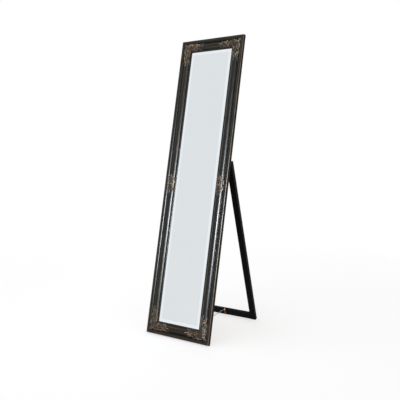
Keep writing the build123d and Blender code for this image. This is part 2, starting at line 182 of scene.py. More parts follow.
def side_place(corner, quarter_turns):
    """Axes of one side, in millimetres: X along it from a corner, Y inwards, Z out of the glass."""
    shift = Matrix.Translation((corner[0] * MM, corner[1] * MM, 0))
    return frame_place @ shift @ Matrix.Rotation(quarter_turns * pi / 2, 4, "Z") @ Matrix.Scale(MM, 4)


sides = {
    "bottom_rail": (side_place((-half_width, 0), 0), frame_width),
    "right_stile": (side_place((half_width, 0), 1), frame_height),
    "top_rail": (side_place((half_width, frame_height), 2), frame_width),
    "left_stile": (side_place((-half_width, frame_height), 3), frame_height),
}


def arc_points(start, middle, end, steps):
    """Points of the arc from start through middle, short of end."""
    start, middle, end = (complex(*point) for point in (start, middle, end))
    ratio = (end - start) / (middle - start)
    centre = (middle - start) * (abs(ratio) ** 2 - ratio) / (ratio.conjugate() - ratio) + start
    spoke = start - centre
    sweep = np.angle((middle - centre) / spoke) + np.angle((end - centre) / (middle - centre))
    turned = [centre + spoke * np.exp(1j * sweep * step / steps) for step in range(steps)]
    return [(point.real, point.imag) for point in turned]


def bead_point(angle):
    """Point of the outer bead's inward flank, at an angle in degrees above its inward side."""
    return (outer_edge_radius + outer_bead_flat + outer_bead_radius * cos(radians(angle)),
            outer_side + outer_edge_radius - outer_bead_radius * (1 - sin(radians(angle))))


bead_stop = bead_point(outer_bead_end)
corner_bow = sight_round * (1 - cos(radians(45)))
edge_bow = outer_edge_radius * (1 - cos(radians(45)))
front_points = (
    arc_points((0, outer_side), (edge_bow, outer_side + outer_edge_radius - edge_bow),
               (outer_edge_radius, outer_side + outer_edge_radius), 8)
    + [(outer_edge_radius, outer_side + outer_edge_radius)]
    + arc_points(bead_point(90), bead_point((90 + outer_bead_end) / 2), bead_stop, 14)
    + arc_points(bead_stop, ((bead_stop[0] + cove_end) / 2, cove_bottom), (cove_end, inner_bead_foot), 10)
    + arc_points((cove_end, inner_bead_foot), (crest_station, inner_bead_crest),
                 (bead_end, inner_bead_foot), 32)
    + [(bead_end, inner_bead_foot), (bead_end, fillet_top - quirk_depth),
       (bead_end + quirk_width, fillet_top - quirk_depth), (bead_end + quirk_width, fillet_top)]
    + arc_points((rail_face - sight_round, fillet_top), (rail_face - corner_bow, fillet_top - corner_bow),
                 (rail_face, fillet_top - sight_round), 6)
    + [(rail_face, fillet_top - sight_round)]
)
back_points = [(rail_face, lip_back), (rebate_wall, lip_back), (rebate_wall, 0), (back_chamfer, 0),
               (0, back_chamfer), (0, outer_side - wax_overlap)]
section_points = np.array(front_points + back_points)
front_outline = np.array(front_points)
front_run = np.concatenate([[0], np.cumsum(np.hypot(*np.diff(front_outline, axis=0).T))])
crest_run = float(front_run[np.argmax(front_outline[:, 1])])


def rubbing(run):
    """How much of the wax each point of the front took, from 0 to 1, by distance across it."""
    # Middle of each rubbed band, its half width and how much wax it took
    bands = ((3.0, 2.8, 1.2), (12.5, 4.0, 0.78), (crest_run - 1, 3.5, 0.5), (crest_run + 10, 4.5, 0.85))
    return sum(amount * np.exp(-(((run - middle) / width) ** 2)) for middle, width, amount in bands)


section_count, front_count = len(section_points), len(front_points)
section_mesh = bpy.data.meshes.new("moulding_section")
section_mesh.from_pydata(
    [(x, y, 0) for x, y in section_points],
    [(index, (index + 1) % section_count) for index in range(section_count)], [],
)
across = np.concatenate([[0], np.cumsum(np.hypot(*np.diff(section_points, axis=0).T))])
is_front = np.arange(section_count) < front_count
for attribute_name, values in (
    ("station", section_points[:, 0]),
    ("height", section_points[:, 1]),
    ("across", across),
    ("rubbed", np.where(is_front, rubbing(across), 0.0)),
    ("polished", np.where(is_front & (across > 0), 1.0, 0.0)),
    ("bare", np.where((section_points[:, 0] < back_chamfer / 2) | (section_points[:, 0] > rebate_wall)
                      | is_front, 0.0, 1.0)),
):
    section_mesh.attributes.new(attribute_name, "FLOAT", "POINT").data.foreach_set("value", values)


def tree_with_sockets(name, sockets):
    """A geometry node tree with these named inputs, its first one the geometry, and its in and out."""
    tree = bpy.data.node_groups.new(name, "GeometryNodeTree")
    tree.interface.new_socket("Geometry", in_out="INPUT", socket_type="NodeSocketGeometry")
    for socket_name, socket_type in sockets.items():
        tree.interface.new_socket(socket_name, in_out="INPUT", socket_type="NodeSocket" + socket_type)
    tree.interface.new_socket("Geometry", in_out="OUTPUT", socket_type="NodeSocketGeometry")
    return tree, add_node(tree, "NodeGroupInput"), add_node(tree, "NodeGroupOutput")


def close_tree(tree, group_in, group_out, geometry):
    """End a tree: instances made real, and the piece's finish set."""
    real = add_node(tree, "GeometryNodeRealizeInstances", {}, {"Geometry": geometry})
    dressed = add_node(tree, "GeometryNodeSetMaterial", {},
                       {"Geometry": real.outputs[0], "Material": group_in.outputs["Finish"]})
    tree.links.new(dressed.outputs[0], group_out.inputs[0])


def grow_from_tree(name, tree, start_mesh, values, place, sharp_angle=35):
    """Run a tree on a mesh and keep the result as a plain piece, put in its place."""
    piece = put_in_scene(name, start_mesh)
    modifier = piece.modifiers.new("growth", "NODES")
    modifier.node_group = tree
    for socket in tree.interface.items_tree:
        if socket.in_out == "INPUT" and socket.name in values:
            modifier[socket.identifier] = values[socket.name]
    bpy.context.view_layer.update()
    depsgraph = bpy.context.evaluated_depsgraph_get()
    grown = bpy.data.meshes.new_from_object(
        piece.evaluated_get(depsgraph), preserve_all_data_layers=True, depsgraph=depsgraph)
    piece.modifiers.remove(modifier)
    piece.data = grown
    grown.name = name
    finish_mesh(grown, place, sharp_angle)
    return piece


def finish_mesh(mesh, place, sharp_angle=35):
    """Put a mesh in its place, turn its faces outwards and shade it, smooth up to an angle."""
    mesh.transform(place)
    shell = bmesh.new()
    shell.from_mesh(mesh)
    bmesh.ops.recalc_face_normals(shell, faces=shell.faces)
    shell.to_mesh(mesh)
    shell.free()
    mesh.shade_smooth()
    mesh.set_sharp_from_angle(angle=radians(sharp_angle))


tree, group_in, group_out = tree_with_sockets(
    "mitred_length", {"Length": "Float", "Steps": "Int", "Finish": "Material"})
section_curve = add_node(tree, "GeometryNodeMeshToCurve", {}, {"Mesh": group_in.outputs["Geometry"]})
line = add_node(tree, "GeometryNodeCurvePrimitiveLine", {}, {"Start": (0, 0, 0), "End": (1, 0, 0)})
stepped = add_node(tree, "GeometryNodeResampleCurve", {},
                   {"Curve": line.outputs[0], "Count": group_in.outputs["Steps"]})
swept = add_node(tree, "GeometryNodeCurveToMesh", {},
                 {"Curve": stepped.outputs[0], "Profile Curve": section_curve.outputs[0], "Fill Caps": True})
share = add_node(tree, "ShaderNodeSeparateXYZ", {},
                 {0: add_node(tree, "GeometryNodeInputPosition").outputs[0]})
station = add_node(tree, "GeometryNodeInputNamedAttribute", {"data_type": "FLOAT"}, {"Name": "station"})
height = add_node(tree, "GeometryNodeInputNamedAttribute", {"data_type": "FLOAT"}, {"Name": "height"})
mitres = add_node(tree, "ShaderNodeMath", {"operation": "MULTIPLY"}, {0: station.outputs[0], 1: 2.0})
run_left = add_node(tree, "ShaderNodeMath", {"operation": "SUBTRACT"},
                    {0: group_in.outputs["Length"], 1: mitres.outputs[0]})
along = add_node(tree, "ShaderNodeMath", {"operation": "MULTIPLY_ADD"},
                 {0: share.outputs["X"], 1: run_left.outputs[0], 2: station.outputs[0]})
spot = add_node(tree, "ShaderNodeCombineXYZ", {},
                {"X": along.outputs[0], "Y": station.outputs[0], "Z": height.outputs[0]})
kept = add_node(tree, "GeometryNodeStoreNamedAttribute", {"data_type": "FLOAT", "domain": "POINT"},
                {"Geometry": swept.outputs[0], "Name": "along", "Value": along.outputs[0]})
mitred = add_node(tree, "GeometryNodeSetPosition", {},
                  {"Geometry": kept.outputs[0], "Position": spot.outputs[0]})
close_tree(tree, group_in, group_out, mitred.outputs[0])
mitred_length = tree


def principled(material):
    """A material's node tree with nothing but its surface shader, and that shader."""
    material.use_nodes = True
    tree = material.node_tree
    tree.nodes.clear()
    surface = add_node(tree, "ShaderNodeBsdfPrincipled")
    add_node(tree, "ShaderNodeOutputMaterial", {}, {"Surface": surface.outputs[0]})
    return tree, surface


def stretched(tree, spot, length, width, depth=1):
    """Coordinates in which a mark of this length, width and depth is one unit each way."""
    return add_node(tree, "ShaderNodeVectorMath", {"operation": "MULTIPLY"},
                    {0: spot, 1: (1 / length, 1 / width, 1 / depth)}).outputs[0]


def mixed(tree, share, first, second):
    """Colour that goes from the first to the second as the share goes from 0 to 1."""
    return add_node(tree, "ShaderNodeMix", {"data_type": "RGBA"},
                    {0: share, 6: first, 7: second}).outputs[2]


# Sprayed olive-black lacquer with bronze wax rubbed on by hand: satin, streaked along the length,
# warm and paler on the crests, and browner towards the bottom. The outer sides got one matt coat
# only, and the back is bare planed pine.
lacquered_moulding = bpy.data.materials.new("olive_black_lacquer_bronze_waxed")
tree, surface = principled(lacquered_moulding)
carried = {
    name: add_node(tree, "ShaderNodeAttribute", {"attribute_name": name}).outputs["Fac"]
    for name in ("along", "across", "rubbed", "polished", "bare")
}
unrolled = add_node(tree, "ShaderNodeCombineXYZ", {},
                    {"X": carried["along"], "Y": carried["across"]}).outputs[0]
patches = add_node(tree, "ShaderNodeTexNoise", {}, {
    "Vector": stretched(tree, unrolled, 55, 3.5), "Scale": 1.0, "Detail": 4.0, "Roughness": 0.6})
bristles = add_node(tree, "ShaderNodeTexNoise", {}, {
    "Vector": stretched(tree, unrolled, 14, 0.9), "Scale": 1.0, "Detail": 3.0, "Roughness": 0.6})
broken = add_node(tree, "ShaderNodeMath", {"operation": "MULTIPLY_ADD"},
                  {0: bristles.outputs["Fac"], 1: 0.45, 2: patches.outputs["Fac"]})
wax_edge = add_node(tree, "ShaderNodeMath", {"operation": "MULTIPLY"},
                    {0: broken.outputs[0], 1: carried["rubbed"]})
wax = add_node(tree, "ShaderNodeMapRange", {"interpolation_type": "SMOOTHSTEP"},
               {"Value": wax_edge.outputs[0], "From Min": 0.32, "From Max": 0.95})
tint = add_node(tree, "ShaderNodeMapRange", {}, {
    "Value": patches.outputs["Fac"], "From Min": 0.35, "From Max": 0.65})
sprayed = mixed(tree, tint.outputs["Result"], srgb("#090c0e"), srgb("#222015"))
above_floor = add_node(tree, "ShaderNodeSeparateXYZ", {}, {
    0: add_node(tree, "ShaderNodeTexCoord").outputs["Object"]})
# Browner towards the bottom, in the lowest quarter of a metre above the floor
browner_low = add_node(tree, "ShaderNodeMapRange", {"interpolation_type": "SMOOTHSTEP"}, {
    "Value": above_floor.outputs["Z"], "From Min": 0.26, "From Max": 0.03, "To Max": 0.75})
lacquer = mixed(tree, browner_low.outputs["Result"], sprayed, srgb("#1e130a"))
wax_tone = mixed(tree, wax.outputs["Result"], srgb("#46331f"), srgb("#7d6850"))
painted = mixed(tree, wax.outputs["Result"], lacquer, wax_tone)
grain = add_node(tree, "ShaderNodeTexNoise", {}, {
    "Vector": stretched(tree, unrolled, 160, 6), "Scale": 1.0, "Detail": 5.0, "Distortion": 0.6})
pine = mixed(tree, grain.outputs["Fac"], srgb("#a97f4f"), srgb("#d9b888"))
bare_edge = add_node(tree, "ShaderNodeMapRange", {"interpolation_type": "SMOOTHSTEP"},
                     {"Value": carried["bare"], "From Min": 0.0, "From Max": 0.6})
sheen = add_node(tree, "ShaderNodeMapRange", {}, {
    "Value": broken.outputs[0], "From Min": 0.4, "From Max": 1.1, "To Min": 0.22, "To Max": 0.42})
bristle_marks = add_node(tree, "ShaderNodeBump", {}, {
    "Height": bristles.outputs["Fac"], "Strength": 0.25, "Distance": 0.0002})
gloss = add_node(tree, "ShaderNodeMapRange", {}, {
    "Value": carried["polished"], "To Min": 0.03, "To Max": 0.22})
set_inputs(tree, surface, {
    "Base Color": mixed(tree, bare_edge.outputs["Result"], painted, pine),
    "Roughness": sheen.outputs["Result"], "Specular IOR Level": gloss.outputs["Result"],
    "Normal": bristle_marks.outputs[0]})

for side_name, (place, length) in sides.items():
    values = {"Length": length, "Steps": int(length / along_step), "Finish": lacquered_moulding}
    moulding = grow_from_tree(side_name + "_moulding", mitred_length, section_mesh, values, place)
    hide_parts(side_name)
    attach(moulding, "frame")


# Carved ornaments: cast composition leaf work, pressed while soft over the moulding and glued.
# Each corner has an acanthus stem, C-scrolls and side leaves along both sides, and a palmette on
# the mitre. The middles have two pairs of scrolls round a boss. All waxed like the moulding.
frame_depth, relief = 31.8, 3.3
relief_step, relief_base, relief_sink = 0.7, 1.0, 0.3
blend_height, mitre_softness, press_blur, fine_step = 1.1, 6.0, 3.0, 0.25
edge_height, least_rise, least_gap, least_shell = 0.04, 0.05, 0.2, 0.4
hollow_blur, wax_everywhere, wax_by_height, wax_and_shade_by_edge = 2.2, 0.05, 0.08, 0.85
eye_size, eye_rise = 1.25, 1.12
corner_arm, corner_outer, corner_inner = 148.0, 17.4, 4.4
full_run = float(front_run[-1])


def run_of(station):
    """Distance over the front from the outer edge to a station short of the sight fillet."""
    return float(np.interp(station, front_outline[:, 0], front_run))


def run_along(length):
    """The same distance for a length along a side, unrolled only as far as the mitre reaches."""
    return full_run + length - rail_face


def spine_points(points, steps=16):
    """A smooth curve through points, with the tangents at its points."""
    points = np.array([points[0], *points, points[-1]], float)
    share = np.linspace(0, 1, steps, endpoint=False)[:, None]
    spans = []
    for before, start, end, after in zip(points, points[1:], points[2:], points[3:]):
        spans.append(start + share * (end - before) / 2
                     + share**2 * (2 * before - 5 * start + 4 * end - after) / 2
                     + share**3 * (3 * start - before - 3 * end + after) / 2)
    curve = np.concatenate([*spans, points[-1:]])
    tangents = np.gradient(curve, axis=0)
    return curve, tangents / np.linalg.norm(tangents, axis=1)[:, None]


def leaf(grid, points, width, crown, lobes=0, taper=(0.6, 0.15), flute=0.0, cut=0.2):
    """Relief of one leaf or scroll along a spine: domed, tapered, lobed at its edges and veined."""
    curve, tangents = spine_points(points)
    offsets = grid[:, :, None, :] - curve
    nearest = (offsets**2).sum(axis=3).argmin(axis=2)
    offset = np.take_along_axis(offsets, nearest[..., None, None], 2)[..., 0, :]
    pace = np.linalg.norm(np.gradient(curve, axis=0), axis=1)[nearest]
    slide = np.clip((offset * tangents[nearest]).sum(axis=2), -pace / 2, pace / 2)
    distance = np.sqrt(np.clip((offset**2).sum(axis=2) - slide**2, 0, None))
    share = (nearest + slide / pace) / (len(curve) - 1)
    half = width * np.interp(share, (0, 0.35, 1), (taper[0], 1, taper[1]))
    reach = distance / half
    wave = np.cos(2 * pi * (lobes * share - 0.45 * reach)) if lobes else 0.0
    reach = distance / (half * (1 + cut * wave))
    dome = np.sqrt(np.clip(1 - reach**2, 0, None))
    vein = flute * np.exp(-((reach / 0.3) ** 2))
    fade = np.interp(share, (0, 0.3, 1), (0.9, 1.0, 0.72))
    rise = crown * fade * (dome * (1 + 0.12 * wave) - vein)
    return np.where(reach < 1, np.maximum(rise, least_rise), 0)


def scroll(grid, points, width, crown):
    """A C-scroll with two raised edges, rolled up round an eye at the end of its spine."""
    ribbon = leaf(grid, points, width, crown, taper=(0.45, 1.0), flute=0.55)
    heading = np.subtract(points[-1], points[-2])
    side = np.array((-heading[1], heading[0])) / np.hypot(*heading)
    turn = np.cross(np.subtract(points[-2], points[-3]), heading)
    eye = np.array(points[-1]) + np.sign(turn) * side * width * eye_size
    knob = boss(grid, eye, width * eye_size, crown * eye_rise)
    return np.maximum(ribbon, knob)


def boss(grid, middle, radius, crown):
    """A round dome."""
    reach = np.hypot(*(grid - np.array(middle)).transpose(2, 0, 1)) / radius
    return crown * np.sqrt(np.clip(1 - reach**2, 0, None))


def blurred(values, sigma):
    """Gaussian blur over a grid, in its own steps."""
    taps = np.arange(-int(3 * sigma), int(3 * sigma) + 1)
    kernel = np.exp(-((taps / sigma) ** 2) / 2)
    kernel /= kernel.sum()
    for axis in range(values.ndim):
        values = np.apply_along_axis(np.convolve, axis, values, kernel, "same")
    return values


# The moulding's front as the soft casting takes it, its quirks and edges rounded over
fine_stations = np.arange(-30, rail_face + 30, fine_step)
soft_heights = blurred(np.interp(fine_stations, front_outline[:, 0], front_outline[:, 1]),
                       press_blur / fine_step)
soft_slopes = np.gradient(soft_heights, fine_step)


def pressed_ornament(name, runs, rows, heights, place):
    """A closed shell over the moulding, from its relief on a grid of unrolled runs and rows."""
    along, inward = (np.where(axis < full_run, np.interp(axis, front_run, front_outline[:, 0]),
                              axis - full_run + rail_face) for axis in (runs, rows))
    x, y = np.meshgrid(along, inward, indexing="ij")
    lower_run = np.minimum.outer(runs, rows)
    real = np.stack([x, y, np.interp(lower_run, front_run, front_outline[:, 1])], axis=-1)
    gap = np.sqrt((x - y) ** 2 + mitre_softness**2)
    station = (x + y - gap) / 2 + mitre_softness * np.exp(-(((x - y) / mitre_softness) ** 2)) / 4
    slope = np.interp(station, fine_stations, soft_slopes)
    normal = np.stack([-slope * (1 - (x - y) / gap) / 2, -slope * (1 + (x - y) / gap) / 2,
                       np.ones_like(x)], axis=-1)
    normal /= np.linalg.norm(normal, axis=-1)[..., None]
    pressed = np.stack([x, y, np.interp(station, fine_stations, soft_heights)], axis=-1)
    weight = np.clip(heights / blend_height, 0, 1)
    weight = (weight * weight * (3 - 2 * weight))[..., None]
    top = (1 - weight) * (real - relief_sink * normal) + weight * (pressed + heights[..., None] * normal)
    top[..., 2] = np.minimum(top[..., 2], frame_depth)
    bottom = real - relief_base * normal
    bottom = np.where(top[..., 2:] < bottom[..., 2:] + least_gap, top - (0, 0, least_shell), bottom)
    solid = heights > edge_height
    cells = solid[:-1, :-1] & solid[1:, :-1] & solid[:-1, 1:] & solid[1:, 1:]
    corner_index = np.arange(heights.size).reshape(heights.shape)
    quads = np.stack([corner_index[:-1, :-1], corner_index[1:, :-1], corner_index[1:, 1:],
                      corner_index[:-1, 1:]], axis=-1)[cells]
    edges = np.concatenate([quads[:, [side, (side + 1) % 4]] for side in range(4)])
    keys = edges[:, 0] * heights.size + edges[:, 1]
    rim = edges[~np.isin(keys, edges[:, 1] * heights.size + edges[:, 0])]
    walls = np.stack([rim[:, 1], rim[:, 0], rim[:, 0] + heights.size, rim[:, 1] + heights.size], axis=-1)
    faces = np.concatenate([quads, quads[:, ::-1] + heights.size, walls])
    used, faces = np.unique(faces, return_inverse=True)
    points = np.concatenate([top.reshape(-1, 3), bottom.reshape(-1, 3)])[used]
    proud = heights - blurred(heights, hollow_blur)
    # Wax on the tips and edges and none in the hollows: partly real wear, partly painted highlight and
    # painted shade
    rubbed = np.clip(wax_everywhere + wax_by_height * heights + wax_and_shade_by_edge * proud, 0, 1).ravel()
    mesh = bpy.data.meshes.new(name)
    mesh.from_pydata(points.tolist(), [], faces.reshape(-1, 4).tolist())
    mesh.attributes.new("rubbed", "FLOAT", "POINT").data.foreach_set(
        "value", np.concatenate([rubbed, rubbed])[used])
    finish_mesh(mesh, place, 60)
    return put_in_scene(name, mesh)


def side_leaves(grid, starts, root, tip, width, crown):
    """A row of curled leaves off a stem, each from its start towards a row, and leaning on the next."""
    lean = 0.95 * abs(tip - root)
    return np.maximum.reduce([
        leaf(grid, [(start, root), (start + 0.25 * lean, root + 0.55 * (tip - root)), (start + lean, tip)],
             width, crown * (1 - 0.05 * order), lobes=2, taper=(0.55, 0.22), flute=0.3, cut=0.14)
        for order, start in enumerate(starts)
    ])


# Rows across the moulding, as distances over its front
outer_row, cove_row = run_of(corner_outer), run_of(cove_end)
stem_row, inner_row = crest_run, run_of(rail_face - sight_fillet - 1)
sight_row = full_run - corner_inner
tip_run = run_along(corner_arm - 1)


def one_arm(grid):
    """Relief of the leaf work on one side of a mitre."""
    parts = [
        leaf(grid, [(stem_row - 4, stem_row - 4), (stem_row + 14, stem_row + 3),
                    (stem_row + 42, stem_row - 2), (stem_row + 72, stem_row + 2), (tip_run, stem_row - 1)],
             8.5, relief, lobes=6, taper=(0.95, 0.14), flute=0.35, cut=0.24),
        scroll(grid, [(stem_row - 8, stem_row - 8), (stem_row - 3, cove_row + 1),
                      (stem_row + 12, outer_row + 7), (stem_row + 30, outer_row + 7),
                      (stem_row + 41, cove_row + 1), (stem_row + 34, cove_row + 8)], 3.4, relief),
        scroll(grid, [(stem_row + 40, cove_row + 10), (stem_row + 50, outer_row + 9),
                      (stem_row + 64, outer_row + 9), (stem_row + 72, cove_row + 2),
                      (stem_row + 65, cove_row + 8)], 2.9, 0.95 * relief),
        side_leaves(grid, stem_row + np.array((6, 22)), stem_row - 5, cove_row + 1, 4.2, 0.9 * relief),
        side_leaves(grid, stem_row + np.array((74, 86)), stem_row - 4, outer_row + 10, 4.4, 0.95 * relief),
        side_leaves(grid, stem_row + np.array((16, 33, 50, 67, 83)), stem_row + 3, sight_row - 5, 5.0,
                    0.9 * relief),
        leaf(grid, [(stem_row - 12, stem_row - 14), (outer_row + 22, outer_row + 12),
                    (outer_row + 16, outer_row + 3)], 4.2, 0.9 * relief, lobes=3, flute=0.3),
    ]
    return np.maximum.reduce(parts)


corner_runs = np.arange(outer_row - 4, tip_run + 4, relief_step)
corner_grid = np.stack(np.meshgrid(corner_runs, corner_runs, indexing="ij"), axis=-1)
arm = one_arm(corner_grid)
fan_root = np.array((stem_row - 5.0, stem_row - 5.0))
fan = [
    leaf(corner_grid, [fan_root, fan_root + reach * np.array((cos(turn), sin(turn)))], 3.3, relief * 1.05,
         taper=(0.5, 0.75), flute=0.3)
    for turn, reach in ((radians(45 + 23 * lobe), 21 - 1.2 * abs(lobe)) for lobe in range(-3, 4))
]
spear = leaf(corner_grid, [fan_root, (outer_row + 12, outer_row + 12), (outer_row + 3, outer_row + 3)],
             4.6, relief, lobes=3, taper=(0.8, 0.2), flute=0.35)
corner_relief = np.maximum.reduce([arm, arm.T, *fan, spear, boss(corner_grid, fan_root, 4.6, 1.2 * relief)])
lower_rows = np.minimum.outer(corner_runs, corner_runs)
corner_relief[(lower_rows > sight_row) | (lower_rows < outer_row)] = 0

middle_reach = 53.0
middle_runs = np.arange(-middle_reach - 1, middle_reach + 2 * relief_step, relief_step)
middle_rows = np.arange(outer_row - 2, sight_row + 2, relief_step)
middle_grid = np.stack(np.meshgrid(np.abs(middle_runs), middle_rows, indexing="ij"), axis=-1)
middle_relief = np.maximum.reduce([
    leaf(middle_grid, [(4, stem_row), (20, stem_row + 2), (38, stem_row - 1), (middle_reach, stem_row)],
         8.5, relief, lobes=4, taper=(0.9, 0.16), flute=0.35),
    scroll(middle_grid, [(0, outer_row + 10), (11, outer_row + 8), (24, outer_row + 10), (29, cove_row + 5),
                         (22, cove_row + 9)], 3.8, relief),
    scroll(middle_grid, [(0, sight_row - 7), (11, sight_row - 6), (23, sight_row - 8), (27, inner_row - 7),
                         (20, inner_row - 11)], 3.4, 0.95 * relief),
    side_leaves(middle_grid, (2, 14), stem_row - 5, cove_row - 1, 4.6, 0.9 * relief),
    side_leaves(middle_grid, (24, 35), stem_row - 4, cove_row - 4, 4.8, 0.95 * relief),
    side_leaves(middle_grid, (4, 16), stem_row + 5, inner_row, 4.4, 0.9 * relief),
    side_leaves(middle_grid, (22, 32), stem_row + 4, sight_row - 6, 4.8, 0.9 * relief),
    boss(middle_grid, (0, stem_row), 9.0, 1.15 * relief),
])

def mottle(tree, size, detail, roughness=0.5, distortion=0.0):
    """Noise on the object's own coordinates, its patches this many millimetres across."""
    return add_node(tree, "ShaderNodeTexNoise", {}, {
        "Vector": add_node(tree, "ShaderNodeTexCoord").outputs["Object"], "Scale": 1 / (size * MM),
        "Detail": detail, "Roughness": roughness, "Distortion": distortion}).outputs["Fac"]


# Bronze wax over the same lacquer: it catches on every tip and edge of the casting, and leaves
# the hollows as dark as the spray left them. The pale tips are partly a painted highlight, and the
# dark creases partly painted shade.
waxed_carving = bpy.data.materials.new("bronze_waxed_composition")
tree, surface = principled(waxed_carving)
proud = add_node(tree, "ShaderNodeAttribute", {"attribute_name": "rubbed"})
speck = mottle(tree, 1.6, 3.0, 0.6)
uneven = add_node(tree, "ShaderNodeMath", {"operation": "MULTIPLY_ADD"},
                  {0: mottle(tree, 19, 3.0, 0.55), 1: 1.5, 2: proud.outputs["Fac"]})
worn_and_shaded = add_node(tree, "ShaderNodeMath", {"operation": "MULTIPLY_ADD"},
                {0: speck, 1: 0.35, 2: uneven.outputs[0]})
level = add_node(tree, "ShaderNodeMapRange", {}, {
    "Value": worn_and_shaded.outputs[0], "From Min": 0.95, "From Max": 1.85})
# Dark creases to pale tips: rubbed wax, with painted shade in the creases and painted highlight on the tips
wax_and_shade_colours = add_node(tree, "ShaderNodeValToRGB", {}, {"Fac": level.outputs["Result"]})
ramp = wax_and_shade_colours.color_ramp
ramp.elements[0].position, ramp.elements[0].color = 0.0, srgb("#0e0b07")
ramp.elements[1].position, ramp.elements[1].color = 1.0, srgb("#c9b99f")
for position, code in ((0.3, "#2a2016"), (0.6, "#5f4b36"), (0.82, "#93806a")):
    ramp.elements.new(position).color = srgb(code)
pores = add_node(tree, "ShaderNodeBump", {}, {"Height": speck, "Strength": 0.35, "Distance": 0.0002})
set_inputs(tree, surface, {
    "Base Color": wax_and_shade_colours.outputs["Color"], "Normal": pores.outputs[0], "Roughness": 0.34,
    "Specular IOR Level": 0.3})

corner_sides = {"bottom_left": "bottom_rail", "bottom_right": "right_stile",
                "top_right": "top_rail", "top_left": "left_stile"}
ornaments = [
    ("corner_ornament_" + corner, corner_runs, corner_runs, corner_relief, side)
    for corner, side in corner_sides.items()
] + [
    ("middle_ornament_" + hand, middle_runs + run_along(frame_height / 2), middle_rows, middle_relief,
     hand + "_stile")
    for hand in ("left", "right")
]
for node, runs, rows, heights, side in ornaments:
    carving = pressed_ornament(node + "_carving", runs, rows, heights, sides[side][0])
    carving.data.materials.append(waxed_carving)
    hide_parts(node)
    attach(carving, "frame")

# Mirror glass: float glass silvered behind, its border ground down to a bevel all round.
# The bevel is painted a little lighter than the middle, partly for its thinner, less tinted glass
# and partly as a painted reflection. The silver is faintly blue-grey.
bevel_width, bevel_blend, glass_clearance = 25.0, 0.4, 2.0
glass_half = (half_width - rebate_wall - glass_clearance, frame_height / 2 - rebate_wall - glass_clearance)

silver = bpy.data.materials.new("bevelled_silvered_glass")
tree, surface = principled(silver)
spot = add_node(tree, "ShaderNodeTexCoord")
in_frame = add_node(tree, "ShaderNodeMapping", {"vector_type": "TEXTURE"}, {
    "Vector": spot.outputs["Object"], "Location": frame_place @ Vector((0, frame_height / 2 * MM, 0)),
    "Rotation": frame_place.to_euler()})
sheet_spot = add_node(tree, "ShaderNodeSeparateXYZ", {}, {0: in_frame.outputs[0]})
edge_gaps = []
for axis, half in zip("XY", glass_half):
    size = add_node(tree, "ShaderNodeMath", {"operation": "ABSOLUTE"}, {0: sheet_spot.outputs[axis]})
    edge_gaps.append(add_node(tree, "ShaderNodeMath", {"operation": "SUBTRACT"},
                              {0: half * MM, 1: size.outputs[0]}))
edge_gap = add_node(tree, "ShaderNodeMath", {"operation": "MINIMUM"},
                    {0: edge_gaps[0].outputs[0], 1: edge_gaps[1].outputs[0]})
# Lighter colour on the bevel: thinner glass, and a painted reflection
bevel = add_node(tree, "ShaderNodeMapRange", {}, {
    "Value": edge_gap.outputs[0], "From Min": (bevel_width + bevel_blend) * MM,
    "From Max": (bevel_width - bevel_blend) * MM})
haze = mottle(tree, 180, 2.0)
silver_tone = mixed(tree, haze, srgb("#dbe0e3"), srgb("#dfe3e5"))
wipe = add_node(tree, "ShaderNodeMapRange", {}, {"Value": haze, "To Min": 0.004, "To Max": 0.012})
set_inputs(tree, surface, {
    "Base Color": mixed(tree, bevel.outputs["Result"], silver_tone, srgb("#e8edf1")),
    "Roughness": wipe.outputs["Result"], "Metallic": 1.0})


def dress(node, material):
    """Give a CAD node its finish, and the shading of its own hard edges."""
    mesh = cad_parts[node].data
    mesh.materials.clear()
    mesh.materials.append(material)
    mesh.shade_smooth()
    mesh.set_sharp_from_angle(angle=radians(30))
    return mesh


dress("mirror_glass", silver)

# Backing board: 3 mm tempered hardboard, smooth and brown, its fibres pressed every way. It lies
# loose behind the glass, where the glazing points hold it.
hardboard = bpy.data.materials.new("oil_tempered_hardboard")
tree, surface = principled(hardboard)
pulp = mixed(tree, mottle(tree, 3, 5.0, 0.7, 1.4), srgb("#5f4128"), srgb("#8a643f"))
stained_pulp = add_node(tree, "ShaderNodeMix", {"data_type": "RGBA", "blend_type": "MULTIPLY"},
                        {0: mottle(tree, 140, 3.0), 6: pulp, 7: srgb("#d9c9b6")})
set_inputs(tree, surface, {"Base Color": stained_pulp.outputs[2], "Roughness": 0.55})
dress("backing_board", hardboard)


def marks_mesh(name, places):
    """A mesh with one point per place, that carries how the thing set there is turned."""
    mesh = bpy.data.meshes.new(name)
    mesh.from_pydata([place.translation for place in places], [], [])
    turns = np.array([tuple(place.to_euler()) for place in places])
    mesh.attributes.new("turn", "FLOAT_VECTOR", "POINT").data.foreach_set("vector", turns.ravel())
    return mesh


def prism(name, outline, height):
    """A closed plate from its outline, its lower face at zero, in millimetres."""
    count = len(outline)
    points = [(x, y, z) for z in (0, height) for x, y in outline]
    faces = [tuple(reversed(range(count))), tuple(range(count, 2 * count))]
    faces += [(i, (i + 1) % count, (i + 1) % count + count, i + count) for i in range(count)]
    mesh = bpy.data.meshes.new(name)
    mesh.from_pydata([Vector(point) * MM for point in points], [], faces)
    return mesh


def unscaled(place):
    """A place without its scale from millimetres to metres."""
    return Matrix.LocRotScale(place.translation, place.to_quaternion(), None)


def copies_on_marks(tree, group_in, geometry):
    """One copy of a geometry on each mark, turned as the mark says."""
    turn = add_node(tree, "GeometryNodeInputNamedAttribute", {"data_type": "FLOAT_VECTOR"}, {"Name": "turn"})
    facing = add_node(tree, "FunctionNodeEulerToRotation", {}, {0: turn.outputs[0]})
    return add_node(tree, "GeometryNodeInstanceOnPoints", {}, {
        "Points": group_in.outputs["Geometry"], "Instance": geometry,
        "Rotation": facing.outputs[0]}).outputs[0]


